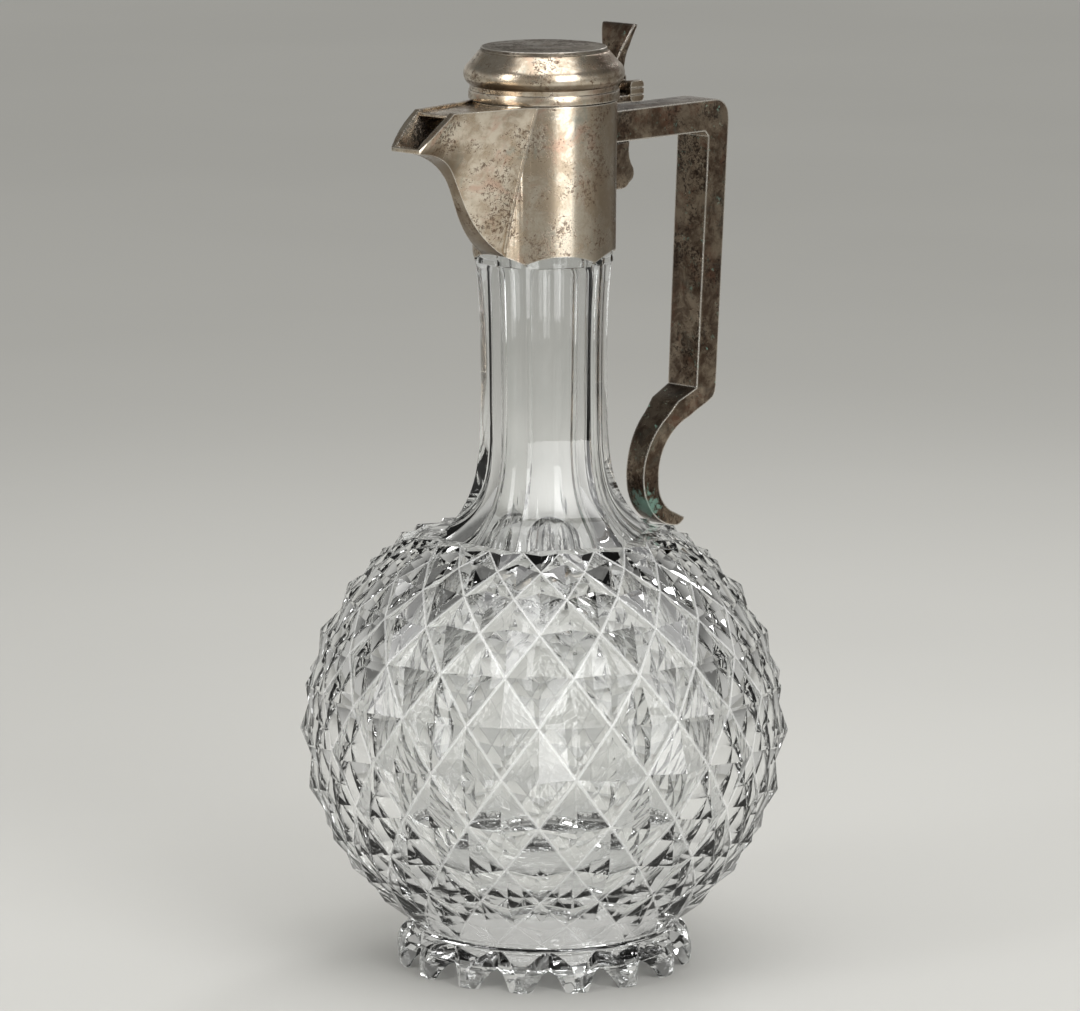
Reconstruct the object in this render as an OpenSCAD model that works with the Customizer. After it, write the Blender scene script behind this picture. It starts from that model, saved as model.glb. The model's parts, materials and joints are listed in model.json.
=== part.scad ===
// Claret jug: a cut-glass bulb and neck in a silver-plated mount with a pouring beak,
// a squared handle and a domed lid on a five-knuckle hinge.
// Origin on the jug's axis at table level, +Z up, beak towards -X, handle towards +X.

/* [Glass bulb] */
// Height of the bulb's centre above the table
bulb_z = 66.5; // [66:0.25:67]
// Radius of the bulb over the diamond points
bulb_r = 67.3; // [66.5:0.1:68]
// Half height of the bulb over the diamond points
bulb_h = 64.7; // [64.2:0.1:65]
// Radius of the hollow inside the bulb
hollow_r = 58.5; // [56:0.5:60]
// Half height of the hollow inside the bulb
hollow_h = 55.5; // [54:0.5:56]

/* [Diamond cutting] */
// Number of diamonds round the bulb
diamonds = 20; // [20]
// Depth of the grooves between the diamonds
cut_depth = 3.3; // [2.5:0.1:3.5]
// Turn of the cutting against the beak, in degrees
cut_turn = -1.2; // [-2:0.1:2]
// Step between rows of groove crossings, on a scale that keeps the diamonds' proportions
row_step = 0.228; // [0.226:0.001:0.23]

/* [Foot] */
// Number of petals on the foot
petals = 16; // [16]
// Radius of the foot over the petals
foot_r = 41.2; // [40.8:0.1:41.5]
// Radius of the bead where the bulb meets the foot
bead_r = 36.3; // [36:0.1:36.6]
// Height of the bead's middle above the table
bead_z = 10.6; // [10.4:0.1:10.8]
// Radius at which the notches between petals end
notch_r = 35.8; // [35.5:0.1:36]
// Turn of the petals against the handle, in degrees
petal_turn = 13.3; // [0:0.1:22]

/* [Neck] */
// Corner radius of the six-sided neck at its waist
neck_r = 18; // [17.8:0.1:18.2]
// Corner radius where the neck's panels run out on the shoulder
neck_foot_r = 30.5; // [30:0.1:31]
// Height at which the panels run out
neck_foot_z = 119.9; // [119.6:0.1:119.9]
// Height of the neck's waist
waist_z = 165; // [160:1:170]
// Height of the glass mouth inside the collar
mouth_z = 214; // [212:0.5:215]
// Radius of the bore at the glass mouth
bore_r = 12.4; // [11.8:0.1:12.6]

/* [Collar] */
// Radius of the collar at its top
collar_r = 19.9; // [19.8:0.05:20]
// Radius of the collar at its lower edge
collar_foot_r = 19.5; // [19.4:0.05:19.6]
// Inside radius of the collar
collar_in_r = 18.95; // [18.95:0.05:19]
// Height of the collar's top edge
collar_top = 239.3; // [239.2:0.05:239.35]
// Height of the collar's lowest point
collar_low = 196.3; // [196:0.1:197]

/* [Beak] */
// How far the beak's tip stands out from the axis
beak_reach = 51.8; // [50:0.2:53]
// Half width of the beak at its tip
tip_half = 5.3; // [5:0.1:5.6]
// Narrowest half width of the beak's keel
keel_half = 1.7; // [1.6:0.1:2.2]
// Thickness of the beak's sheet
beak_wall = 1; // [0.8:0.1:1.1]

/* [Lid] */
// Radius of the lid's lower band
band_r = 20.5; // [20.3:0.1:20.7]
// Largest radius of the lid's dome
dome_r = 21.9; // [21.7:0.1:22.1]
// Radius of the flat disc on top
disc_r = 17.2; // [17:0.1:17.4]
// Height of the disc's top face
lid_top = 253.8; // [253.6:0.1:254.2]

/* [Hinge] */
// Distance of the hinge pin from the jug's axis
hinge_x = 26; // [25.8:0.1:26.2]
// Height of the hinge pin
hinge_z = 240.2; // [240.1:0.05:240.3]
// Outside radius of the knuckles
knuckle_r = 2.6; // [2.4:0.05:2.65]
// Radius of the hinge pin
pin_r = 1; // [0.9:0.05:1.1]
// Half length of the hinge barrel
barrel_half = 9.4; // [9:0.1:10]

/* [Handle] */
// Width of the handle at the arm
arm_w = 12; // [11.5:0.1:12.5]
// Width of the handle at the scroll
scroll_w = 6.8; // [6.4:0.1:7.4]
// Height of the arm's top face
arm_top = 234.7; // [234.5:0.1:234.9]
// Height of the arm's underside
arm_under = 226.1; // [225.8:0.1:226.4]
// How far the handle stands out from the axis
handle_reach = 66.6; // [66.2:0.1:66.9]

/* [Hidden] */
$fn = 96;

glass_tint = [0.86, 0.91, 0.92, 0.6];
plaster_white = [0.9, 0.87, 0.8];
silver_bright = [0.74, 0.7, 0.65];
silver_dark = [0.46, 0.4, 0.36];
steel_grey = [0.5, 0.5, 0.52];

// Points on a cubic curve through four control points of any dimension
function bezier(p, t) = pow(1 - t, 3) * p[0] + 3 * pow(1 - t, 2) * t * p[1]
    + 3 * (1 - t) * t * t * p[2] + t * t * t * p[3];

// Points on an arc in a plane, from angle a0 to a1 in n steps
function arc(cx, cy, r, a0, a1, n) =
    [for (k = [0:n]) let (a = a0 + (a1 - a0) * k / n) [cx + r * cos(a), cy + r * sin(a)]];

// Joins rings of equal length into a closed solid, with flat ends
function loft_faces(count, size) = concat(
    [[for (i = [0:size - 1]) i]],
    [for (j = [0:count - 2]) for (i = [0:size - 1])
        let (a = j * size + i, b = j * size + (i + 1) % size)
        for (side = [0, 1]) side == 0 ? [a, a + size, b] : [b, a + size, b + size]],
    [[for (i = [size - 1:-1:0]) (count - 1) * size + i]]);

module loft(rings) {
    polyhedron([for (ring = rings) for (p = ring) p],
        loft_faces(len(rings), len(rings[0])), convexity = 6);
}

// Diamond cutting. Rows of groove crossings climb the bulb like the parallels of a map
// that keeps its proportions, so that the diamonds shrink evenly towards both ends.
cut_columns = 2 * diamonds;
row_middle = -0.027;
row_low = -4;
row_high = 6;
cut_seat_r = 35.4;

function row_lat(j) = 2 * atan(exp(row_middle + row_step * j)) - 90;
// The grooves grow shallower towards the foot
function groove_depth(j) = cut_depth * min(1, 0.4 + 0.2 * (j - row_low));
function sunk(i, j) = j == row_high || (i + j - row_low) % 2 == 0 ? groove_depth(j) : 0;
function cut_point(i, j) =
    let (lat = row_lat(j), a = i * 360 / cut_columns + cut_turn, d = sunk(i, j))
    [(bulb_r - d) * cos(lat) * cos(a), (bulb_r - d) * cos(lat) * sin(a),
        bulb_z + (bulb_h - d) * sin(lat)];
function seat_point(i) = let (a = i * 360 / cut_columns + cut_turn)
    [cut_seat_r * cos(a), cut_seat_r * sin(a), bead_z];

// Two facets of one lattice cell, split along its groove so that the ridges stay sharp
function cell(a, b, c, d, groove_ac) =
    groove_ac ? [[a, c, b], [a, d, c]] : [[a, d, b], [b, d, c]];

module cut_bulb() {
    rows = row_high - row_low + 2;
    points = concat([for (i = [0:cut_columns - 1]) seat_point(i)],
        [for (j = [row_low:row_high]) for (i = [0:cut_columns - 1]) cut_point(i, j)]);
    faces = concat([[for (i = [0:cut_columns - 1]) i]],
        [for (k = [0:rows - 2]) for (i = [0:cut_columns - 1])
            let (n = (i + 1) % cut_columns, low = k * cut_columns, up = low + cut_columns)
            for (f = cell(low + i, low + n, up + n, up + i, (i + k) % 2 == 1)) f],
        [[for (i = [cut_columns - 1:-1:0]) (rows - 1) * cut_columns + i]]);
    polyhedron(points, faces, convexity = 10);
}

// Neck: six flat panels that sweep out over the shoulder
neck_sides = 6;
neck_turn = 30;
panel_top_z = 195.8;
neck_top_z = 199.5;
neck_spread = 1.4;
ring_r = 18.9;
mouth_glass_r = 17.4;
neck_steps = 14;

function neck_corner_r(z) = z > waist_z
    ? neck_r + neck_spread * pow((z - waist_z) / (panel_top_z - waist_z), 2.6)
    : let (t = (waist_z - z) / (waist_z - neck_foot_z))
        neck_r + 1.2 * t * t + (neck_foot_r - neck_r - 1.2) * pow(t, 5);
function neck_ring(r, z) =
    [for (k = [0:neck_sides - 1]) let (a = neck_turn + k * 360 / neck_sides)
        [r * cos(a), r * sin(a), z]];
// Heights crowd together towards the flare
function neck_height(k) =
    neck_foot_z + (waist_z - neck_foot_z) * pow(k / neck_steps, 1.8);

module neck_panels() {
    loft(concat([neck_ring(neck_foot_r - 1.5, neck_foot_z - 1.5)],
        [for (k = [0:neck_steps]) let (z = neck_height(k)) neck_ring(neck_corner_r(z), z)],
        [for (z = [177, 184, 189, 193, panel_top_z]) neck_ring(neck_corner_r(z), z)]));
}

// Foot: a flared skirt notched into petals, dished underneath so that it stands on their tips
bead_wire_r = 0.9;
dish_z = 5.6;
tip_inner_r = 38.6;

module foot_skirt() {
    rotate_extrude()
        polygon([[0, dish_z], [notch_r - 0.4, dish_z], [tip_inner_r - 0.8, 2.6],
            [tip_inner_r, 0], [foot_r - 1.1, 0], [foot_r - 0.4, 1], [foot_r - 0.05, 2.6],
            [foot_r, 4.2], [foot_r - 0.5, 6.2], [foot_r - 1.6, 8.2], [foot_r - 3.4, 9.8],
            [bead_r - 0.7, bead_z], [bead_r - 0.8, bead_z + 0.5], [0, bead_z + 0.5]]);
    rotate_extrude()
        translate([bead_r - bead_wire_r, bead_z]) circle(r = bead_wire_r, $fn = 24);
}

module petal_notch() {
    reach = 8;
    spread = 55;
    translate([0, 0, -1])
        linear_extrude(14)
            polygon([[notch_r, 0], [notch_r + reach, -reach * tan(spread)],
                [notch_r + reach, reach * tan(spread)]]);
}

module foot() {
    difference() {
        foot_skirt();
        for (k = [0:petals - 1])
            rotate(petal_turn + (k + 0.5) * 360 / petals) petal_notch();
    }
}

// The hollow: an ellipsoid that sweeps up into the bore
module hollow() {
    top_lat = 62;
    shoulder = [hollow_r * cos(top_lat), bulb_z + hollow_h * sin(top_lat)];
    sweep = [shoulder, [17.5, 120.5], [11.8, 126], [11.6, 146]];
    rotate_extrude()
        polygon(concat(
            [for (a = [-90:4:top_lat - 2]) [hollow_r * cos(a), bulb_z + hollow_h * sin(a)]],
            [for (k = [0:8]) bezier(sweep, k / 8)],
            [[bore_r, mouth_z], [bore_r, mouth_z + 1], [0, mouth_z + 1]]));
}

module glass_vessel() {
    color(glass_tint) difference() {
        union() {
            cut_bulb();
            neck_panels();
            translate([0, 0, panel_top_z - 0.3])
                cylinder(r = ring_r, h = neck_top_z - panel_top_z + 0.3);
            translate([0, 0, neck_top_z - 1])
                cylinder(r = mouth_glass_r, h = mouth_z - neck_top_z + 1);
            foot();
        }
        hollow();
    }
}

// Plaster that beds the glass in the collar
module plaster_bed() {
    color(plaster_white) translate([0, 0, neck_top_z + 0.5]) difference() {
        cylinder(r = collar_in_r, h = 13);
        translate([0, 0, -1]) cylinder(r = mouth_glass_r, h = 15);
    }
}

// Outside of the collar, which everything soldered to it is cut back to
module collar_outside(spare = 0) {
    translate([0, 0, collar_low - spare])
        cylinder(r1 = collar_foot_r, r2 = collar_r, h = collar_top - collar_low + 2 * spare);
}

// Window through which the collar opens into the beak
window_sill = 216.5;
window_head = 236.2;

module beak_window() {
    rotate([90, 0, -90]) linear_extrude(30)
        polygon([[-6.3, window_sill], [6.3, window_sill], [10.4, window_head],
            [-10.4, window_head]]);
}

module collar_sleeve() {
    arch_r = 22;
    arch_crown = 198.8;
    color(silver_bright) difference() {
        collar_outside();
        translate([0, 0, collar_low - 1]) cylinder(r = collar_in_r, h = 50);
        beak_window();
        for (k = [0:neck_sides - 1])
            rotate(k * 360 / neck_sides) translate([0, 0, arch_crown - arch_r])
                rotate([0, 90, 0]) cylinder(r = arch_r, h = 30);
    }
}

// Stiffening ring soldered inside the collar's mouth
module mouth_rim() {
    rim_h = 2.5;
    color(silver_bright) translate([0, 0, collar_top - rim_h]) difference() {
        cylinder(r = collar_in_r, h = rim_h);
        translate([0, 0, -1]) cylinder(r = collar_in_r - 0.65, h = rim_h + 2);
    }
}

// Beak. Its keel follows one curve from low on the collar to the tip, and each cheek is
// ruled from the keel to the crease on the collar, then to the rim of the channel.
rim_z = 239.3;
bend_x = -41;
bend_half = 7.4;
tip_z = 230.3;
crease_low = [4.3, 200.4];
crease_top = [12.5, rim_z];
keel = [[-19.2, 198.6], [-38.8, 211.3], [-28, 227.2], [-beak_reach, tip_z - 0.9]];
keel_foot_half = 4.4;
narrow_at = 0.55;
crease_end = 0.45;
bend_end = 0.75;

function keel_half_at(t) = t < narrow_at
    ? keel_half + (keel_foot_half - keel_half) * pow(1 - t / narrow_at, 2)
    : keel_half + (tip_half - keel_half) * pow((t - narrow_at) / (1 - narrow_at), 1.3);
function crease_point(s) =
    let (v = crease_low[0] + (crease_top[0] - crease_low[0]) * s,
        z = crease_low[1] + (crease_top[1] - crease_low[1]) * s)
    [-sqrt(collar_r * collar_r - v * v), v, z];
function rim_point(t) = t < crease_end ? crease_point(t / crease_end)
    : t < bend_end ? let (s = (t - crease_end) / (bend_end - crease_end))
        (1 - s) * crease_point(1) + s * [bend_x, bend_half, rim_z]
    : let (s = (t - bend_end) / (1 - bend_end))
        [bend_x - s * (beak_reach + bend_x), bend_half - pow(s, 2.5) * (bend_half - tip_half),
            rim_z - s * (rim_z - tip_z) + 0.4 * sin(180 * s)];
function keel_slope(t) = let (d = bezier(keel, t + 0.01) - bezier(keel, t - 0.01))
    d / norm(d);
function mirrored(k, c) =
    [[c[0], c[1], c[2]], [k[0], k[1], k[2]], [k[0], -k[1], k[2]], [c[0], -c[1], c[2]]];

// Outer skin, carried a little into the collar but never above its rim
function skin_ring(t) =
    let (p = bezier(keel, t), k = [p[0], keel_half_at(t), p[1]], c = rim_point(t),
        e = k + 1.05 * (c - k))
    mirrored(k, t <= crease_end ? [e[0], e[1], min(e[2], rim_z)] : c);
// Channel inside the sheet, carried out through the open top
function channel_ring(t) =
    let (p = bezier(keel, t), n = keel_slope(t),
        k = [p[0] + n[1] * beak_wall, keel_half_at(t) - 0.9 * beak_wall,
            p[1] - n[0] * beak_wall],
        c = rim_point(t) - [0, 1.05 * beak_wall, 0],
        up = t < crease_end ? [0, 0, 0] : [0, 0, 2.5])
    mirrored(k, k + 1.15 * (c - k) + up);

beak_steps = 20;
channel_start = 0.15;

module beak_skin() {
    loft([for (k = [0:beak_steps]) skin_ring(k / beak_steps)]);
}

module beak_channel() {
    last = channel_ring(1);
    loft(concat([for (k = [0:beak_steps])
            channel_ring(channel_start + (1 - channel_start) * k / beak_steps)],
        [[for (p = last) p - [2, 0, 0]]]));
}

module beak_shell() {
    color(silver_bright) difference() {
        beak_skin();
        beak_channel();
        collar_outside(1);
    }
}

// Plate that closes the channel between the collar and the beak's mouth, cut to the channel
cover_t = 0.9;
cover_sunk = 0.5;
cover_front = -41.8;

module beak_cover() {
    back = -14;
    color(silver_bright) difference() {
        intersection() {
            translate([cover_front, -collar_r, rim_z - cover_sunk - cover_t])
                cube([back - cover_front, 2 * collar_r, cover_t]);
            beak_channel();
        }
        collar_outside(1);
    }
}

// Hinge. Knuckles alternate along the barrel: collar, lid, collar, lid, collar.
centre_half = 1.8;
side_start = 5.4;
end_play = 0.3;
swing_gap = 0.3;

// A cylinder along the hinge pin from y0 to y1
module barrel_piece(r, y0, y1) {
    translate([hinge_x, y1, hinge_z]) rotate([90, 0, 0]) cylinder(r = r, h = y1 - y0);
}

// A bar of the given side outline in the X-Z plane from y0 to y1
module side_bar(outline, y0, y1) {
    translate([0, y1, 0]) rotate([90, 0, 0]) linear_extrude(y1 - y0) polygon(outline);
}

module collar_hinge_leaf() {
    plate_low = 237.2;
    plate = [[15, plate_low], [hinge_x, plate_low], [hinge_x + 2, hinge_z - 1.5],
        [hinge_x + 2.3, hinge_z], [hinge_x - 2.3, hinge_z], [hinge_x - 2.3, collar_top],
        [15, collar_top]];
    color(silver_dark) difference() {
        union() {
            side_bar(plate, -barrel_half, barrel_half);
            barrel_piece(knuckle_r, -barrel_half, barrel_half);
        }
        for (s = [-1, 1])
            barrel_piece(knuckle_r + swing_gap, s > 0 ? centre_half : -side_start,
                s > 0 ? side_start : -centre_half);
        barrel_piece(pin_r, -barrel_half - 1, barrel_half + 1);
        collar_outside(1);
    }
}

module hinge_pin() {
    color(steel_grey) barrel_piece(pin_r, -barrel_half, barrel_half);
}

// Squared caps with round corners, one on each end of the pin
module pin_heads() {
    cap_t = 0.6;
    curl = 1.2;
    cap_x = 1.4;
    cap_z = 1.7;
    cap = concat(arc(hinge_x - cap_x, hinge_z - cap_z, curl, 180, 270, 4),
        arc(hinge_x + cap_x, hinge_z - cap_z, curl, 270, 360, 4),
        arc(hinge_x + cap_x, hinge_z + cap_z, curl, 0, 90, 4),
        arc(hinge_x - cap_x, hinge_z + cap_z, curl, 90, 180, 4));
    color(silver_dark) {
        side_bar(cap, -barrel_half - cap_t, -barrel_half);
        side_bar(cap, barrel_half, barrel_half + cap_t);
    }
}

// Outside of the lid, which its leaf and thumbpiece are cut back to
dome_curl = 3.5;
dome_z = 246.6;
band_low = 239.7;
band_top = 242.2;

function dome_outline() = concat([[band_r - 0.3, band_top]],
    arc(dome_r - dome_curl, dome_z, dome_curl, -60, 55, 10),
    [[disc_r + 0.9, 252.2], [disc_r + 0.4, lid_top - 1.1]]);

module lid_outside() {
    rotate_extrude() polygon(concat([[0, band_low], [band_r, band_low], [band_r, band_top]],
        dome_outline(), [[0, lid_top - 1.1]]));
}

module lid_hinge_leaf() {
    saddle_top = 244.2;
    saddle = [[15, band_low + 0.8], [hinge_x - knuckle_r - 0.5, band_low + 0.8],
        [hinge_x, hinge_z], [hinge_x + 1, hinge_z + 2.4], [hinge_x - 2.4, saddle_top],
        [15, saddle_top]];
    post = [[hinge_x - 4, hinge_z + 2], [hinge_x + 2.9, hinge_z + 1.2],
        [hinge_x + 2.9, saddle_top - 0.6], [hinge_x + 2.3, saddle_top],
        [hinge_x - 4, saddle_top]];
    lid_side = side_start - end_play;
    color(silver_dark) difference() {
        union() {
            side_bar(saddle, -lid_side, lid_side);
            side_bar(post, -3, 3);
            barrel_piece(knuckle_r, -lid_side, lid_side);
        }
        barrel_piece(knuckle_r + swing_gap, -centre_half - end_play, centre_half + end_play);
        barrel_piece(pin_r + 0.05, -barrel_half, barrel_half);
        lid_outside();
    }
}

// Lid
module lid_band() {
    color(silver_bright) translate([0, 0, band_low]) difference() {
        cylinder(r = band_r, h = band_top - band_low);
        translate([0, 0, -1]) cylinder(r = band_r - 1.6, h = 5);
    }
}

module lid_cover() {
    wall = 0.8;
    seat_z = lid_top - 1.1;
    inside = concat([[band_r - 1.3, band_top]],
        arc(dome_r - dome_curl, dome_z, dome_curl - wall, -50, 55, 8),
        [[disc_r - 0.2, seat_z - wall], [disc_r - 1.6, seat_z - wall], [disc_r - 1.6, seat_z]]);
    outline = concat(dome_outline(), [for (k = [len(inside) - 1:-1:0]) inside[k]]);
    color(silver_bright) rotate_extrude() polygon(outline);
}

module lid_top_disc() {
    thick = 1.1;
    edge = 0.25;
    color(silver_dark) translate([0, 0, lid_top - thick]) rotate_extrude()
        polygon([[0, 0], [disc_r, 0], [disc_r, thick - edge], [disc_r - edge, thick],
            [0, thick]]);
}

module lid_bezel() {
    bezel_h = 3;
    bezel_r = 17.6;
    color(silver_bright) translate([0, 0, band_low - bezel_h]) difference() {
        cylinder(r = bezel_r, h = bezel_h);
        translate([0, 0, -1]) cylinder(r = bezel_r - 0.8, h = bezel_h + 2);
    }
}

module lid_underplate() {
    color(silver_bright) translate([0, 0, band_low]) cylinder(r = band_r - 1.6, h = 0.8);
}

// Thumbpiece: a billet that fans out above the hinge and leans back
module thumbpiece() {
    side = [[hinge_x - 2.2, 244.2], [hinge_x - 0.9, 247.5], [hinge_x + 0.3, 250.5],
        [hinge_x + 0.7, 252.8], [hinge_x + 1.5, 255.4], [hinge_x + 2.6, 257.9],
        [hinge_x + 4.4, 257.9], [hinge_x + 3.3, 254], [hinge_x + 3.2, 250.5],
        [hinge_x + 2.9, 247], [hinge_x + 2.3, 244.2]];
    half = [[3, 244], [2.6, 246.5], [2.8, 248.5], [3.5, 250.5], [4.3, 252.2], [5, 253.9],
        [5.7, 255.8], [6.3, 258]];
    fan = concat(half, [for (k = [len(half) - 1:-1:0]) [-half[k][0], half[k][1]]]);
    color(silver_dark) intersection() {
        side_bar(side, -8, 8);
        translate([10, 0, 0]) rotate([90, 0, 90]) linear_extrude(30) polygon(fan);
    }
}

// Handle. The side outline runs from the collar through a square elbow, down the grip to
// a knee and round the scroll; the front outline gives its width at each height.
knee_z = 154.4;
grip_in_top = 58.6;
grip_in_low = 54.7;
grip_out_low = 62.4;
elbow_r = 5;
split_z = 222;

function handle_half(z) = z > arm_under ? arm_w / 2
    : z > knee_z ? 5.6 + (arm_w / 2 - 5.6) * (z - knee_z) / (arm_under - knee_z)
    : scroll_w / 2 + (5.6 - scroll_w / 2) * pow(max(0, (z - 130) / (knee_z - 130)), 2);
function width_outline(zs) = concat([for (z = zs) [handle_half(z), z]],
    [for (k = [len(zs) - 1:-1:0]) [-handle_half(zs[k]), zs[k]]]);

module width_prism(zs) {
    translate([10, 0, 0]) rotate([90, 0, 90]) linear_extrude(70) polygon(width_outline(zs));
}

function along(a, b, z) = a[0] + (b[0] - a[0]) * (z - a[1]) / (b[1] - a[1]);
grip_in = [[grip_in_low, knee_z], [grip_in_top, 224.6]];
grip_out = [[grip_out_low, knee_z], [handle_reach, arm_top - elbow_r - 1]];

module handle_arm() {
    outline = concat([[15, arm_top], [handle_reach - elbow_r - 0.6, arm_top]],
        arc(handle_reach - elbow_r - 0.1, arm_top - elbow_r, elbow_r, 80, 0, 6),
        [[grip_out[1][0], grip_out[1][1]],
        [along(grip_out[0], grip_out[1], split_z), split_z],
        [along(grip_in[0], grip_in[1], split_z), split_z], grip_in[1],
        [grip_in_top - 1.4, arm_under], [15, arm_under]]);
    color(silver_dark) difference() {
        side_bar(outline, -arm_w / 2, arm_w / 2);
        collar_outside(1);
    }
}

module handle_grip() {
    outline = [[along(grip_out[0], grip_out[1], split_z), split_z], grip_out[0],
        grip_in[0], [along(grip_in[0], grip_in[1], split_z), split_z]];
    color(silver_dark) intersection() {
        side_bar(outline, -10, 10);
        width_prism([knee_z - 1, knee_z, arm_under]);
    }
}

// Scroll: two pairs of arcs that thin towards a tail flicked outwards over the shoulder
module handle_scroll() {
    outer = concat([[grip_out_low, knee_z], [62.5, 152.6], [61.8, 150.9], [59.7, 149.6],
        [55.8, 147.8]], arc(57.8, 131, 16, 106, 180, 10), arc(51.8, 129, 10, 186, 248, 7),
        [[52.1, 117.8], [51.9, 117.1], [50.6, 116.2]]);
    inner = concat(arc(50, 130, 14.2, 268, 184, 9), arc(57.3, 130.3, 21.6, 178, 127, 8),
        [[47.8, 151.3], [grip_in_low, knee_z]]);
    color(silver_dark) intersection() {
        side_bar(concat(outer, inner), -10, 10);
        width_prism([110, 130, 134, 138, 142, 146, 150, knee_z, knee_z + 1]);
    }
}

// Drop: the bracket under the arm that ends in a rounded bulge on the collar
module handle_drop() {
    outline = concat([[15, arm_under], [27.4, arm_under], [27.1, 223.6], [27.4, 221.4]],
        arc(25.5, 217.3, 3.6, 45, -30, 6), arc(24.6, 216, 3, -30, -90, 4), [[15, 213]]);
    color(silver_dark) difference() {
        side_bar(outline, -arm_w / 2, arm_w / 2);
        collar_outside(1);
    }
}

glass_vessel();
plaster_bed();
collar_sleeve();
mouth_rim();
beak_shell();
beak_cover();
collar_hinge_leaf();
hinge_pin();
pin_heads();
handle_arm();
handle_grip();
handle_scroll();
handle_drop();
lid_band();
lid_cover();
lid_top_disc();
lid_bezel();
lid_underplate();
thumbpiece();
lid_hinge_leaf();
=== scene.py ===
"""Looks of a cut-glass claret jug in a silver-plated mount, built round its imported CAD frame.

Sizes are written in millimetres, as in the part's source, and turned into metres where a mesh
is made. The glass is rebuilt with its cutting in full: a lattice of diamonds between fine flat
grooves, a six-panelled neck and a foot notched into petals. The metal pieces follow their CAD
solids and gain softened arrises and worn silver plate.
"""

import json
import logging
import math
from dataclasses import dataclass, field
from enum import Enum

import bmesh
import bpy
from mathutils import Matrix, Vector

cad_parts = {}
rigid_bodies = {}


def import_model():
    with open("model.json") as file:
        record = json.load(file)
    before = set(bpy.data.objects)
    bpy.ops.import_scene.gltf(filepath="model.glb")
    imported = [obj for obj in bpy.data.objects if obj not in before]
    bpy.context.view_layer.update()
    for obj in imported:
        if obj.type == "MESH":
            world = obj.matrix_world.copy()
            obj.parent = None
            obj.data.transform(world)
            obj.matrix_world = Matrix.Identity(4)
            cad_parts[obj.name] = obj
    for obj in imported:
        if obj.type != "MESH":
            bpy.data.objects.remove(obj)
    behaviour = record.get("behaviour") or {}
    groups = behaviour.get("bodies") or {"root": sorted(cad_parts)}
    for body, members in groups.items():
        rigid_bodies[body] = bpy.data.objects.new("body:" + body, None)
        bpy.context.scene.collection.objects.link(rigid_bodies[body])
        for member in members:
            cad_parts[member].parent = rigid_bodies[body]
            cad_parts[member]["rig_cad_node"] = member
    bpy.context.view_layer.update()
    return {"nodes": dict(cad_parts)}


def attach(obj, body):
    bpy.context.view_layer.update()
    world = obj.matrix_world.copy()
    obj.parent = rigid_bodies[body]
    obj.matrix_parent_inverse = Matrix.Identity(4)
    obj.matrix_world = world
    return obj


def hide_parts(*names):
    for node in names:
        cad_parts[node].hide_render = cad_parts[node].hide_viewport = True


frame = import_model()

LOG = logging.getLogger("claret_jug")
MM = 0.001
Colour = tuple[float, float, float]
Outline = list[tuple[float, float]]
Piece = bpy.types.Object
Node = bpy.types.Node
Socket = bpy.types.NodeSocket


class Body(Enum):
    """The two bodies of the jug: what stands still, and what swings on the hinge."""

    JUG = "jug"
    LID = "lid"


class Slot(Enum):
    """The record's material slots."""

    GLASS = "cut_glass"
    PLASTER = "plaster"
    BRIGHT = "plate_bright"
    DARK = "plate_dark"
    STEEL = "pin_steel"


class Cut(Enum):
    """What one closed mesh does to another."""

    ADD = "UNION"
    TAKE = "DIFFERENCE"
    KEEP = "INTERSECT"


# Node trees


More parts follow.
